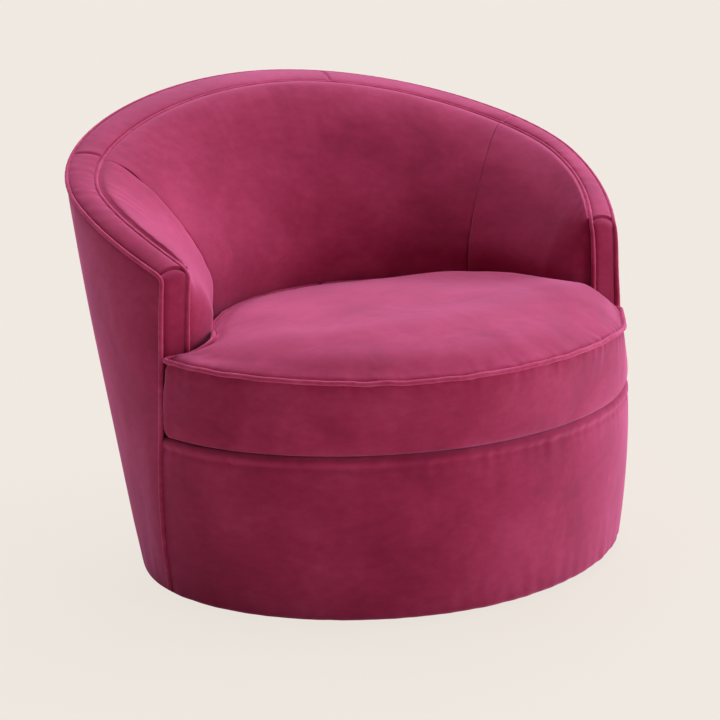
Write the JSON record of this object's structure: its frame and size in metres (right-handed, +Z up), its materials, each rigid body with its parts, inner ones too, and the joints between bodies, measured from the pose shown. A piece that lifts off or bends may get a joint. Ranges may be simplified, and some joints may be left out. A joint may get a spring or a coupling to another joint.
{
  "type": "round swivel cuddle chair",
  "caption": "Round barrel cuddle chair in deep pink velvet: a sloping banded back that runs down into the arms, a loose piped T-shaped seat cushion and a drum base that turns on a hidden ball-bearing swivel.",
  "frame": {"origin": "on the floor under the middle of the chair's outline", "axes": "+X across the chair to its left arm's far side, seen from the front on the right; -Y is the front; +Z is up"},
  "size_m": [0.9996, 0.9073, 0.7834],
  "materials": {
    "velvet": "deep pink cotton velvet, short pile with a mottled nap",
    "welt_velvet": "the same velvet, cut on the bias round a cord",
    "plywood": "bare birch plywood, sanded",
    "hardwood": "bare hardwood, planed",
    "bent_board": "thin bent hardboard",
    "foam": "cream upholstery foam",
    "felt": "dark grey pressed felt and non-woven cloth",
    "nylon": "black nylon",
    "zip_tape": "dark pink zip",
    "spring_steel": "dark oil-tempered spring wire",
    "zinc_steel": "zinc-plated steel"
  },
  "bodies": {
    "floor_base": {"floor_disc": "plywood", "glide_1": "nylon", "glide_2": "nylon", "glide_3": "nylon", "glide_4": "nylon", "glide_5": "nylon", "glide_6": "nylon", "bearing_lower_plate": "zinc_steel", "king_pin": "zinc_steel", "lower_plate_screw_1": "zinc_steel", "lower_plate_screw_2": "zinc_steel", "lower_plate_screw_3": "zinc_steel", "lower_plate_screw_4": "zinc_steel"},
    "ball_cage": {"ball_cage": "zinc_steel"},
    "chair": {"bearing_upper_plate": "zinc_steel", "upper_plate_bolt_1": "zinc_steel", "upper_plate_bolt_2": "zinc_steel", "upper_plate_bolt_3": "zinc_steel", "upper_plate_bolt_4": "zinc_steel", "bottom_ring": "plywood", "top_rail": "plywood", "back_slat_1": "hardwood", "back_slat_2": "hardwood", "back_slat_3": "hardwood", "back_slat_4": "hardwood", "back_slat_5": "hardwood", "arm_post_left": "hardwood", "arm_post_right": "hardwood", "seat_ring": "plywood", "front_post_1": "hardwood", "front_post_2": "hardwood", "front_post_3": "hardwood", "swivel_board": "plywood", "dust_cover": "felt", "inner_liner": "bent_board", "deck_pad": "felt", "seat_spring_1": "spring_steel", "seat_spring_2": "spring_steel", "seat_spring_3": "spring_steel", "seat_spring_4": "spring_steel", "seat_spring_5": "spring_steel", "inside_back_pad": "velvet", "inside_arm_pad_left": "velvet", "inside_arm_pad_right": "velvet", "top_band": "velvet", "arm_facing_left": "velvet", "arm_facing_right": "velvet", "outside_back": "velvet", "front_panel": "velvet", "outer_welt": "welt_velvet", "inner_welt": "welt_velvet"},
    "seat_cushion": {"cushion_core": "foam", "cushion_cover": "velvet", "cushion_zip": "zip_tape", "seat_piping": "welt_velvet"}
  },
  "joints": [
    {"name": "seat_swivel", "type": "hinge", "parent": "floor_base", "child": "chair", "pos_m": [0, -0.08349, 0], "axis": [0, 0, 1], "continuous": true},
    {"name": "ball_cage_roll", "type": "hinge", "parent": "floor_base", "child": "ball_cage", "pos_m": [0, -0.08349, 0], "axis": [0, 0, 1], "continuous": true},
    {"name": "cushion_lift", "type": "slide", "parent": "chair", "child": "seat_cushion", "axis": [0, 0, 1], "range_m": [0, 0.55]}
  ],
  "couplings": [
    {"joint": "ball_cage_roll", "follows": "seat_swivel", "ratio": 0.5}
  ]
}
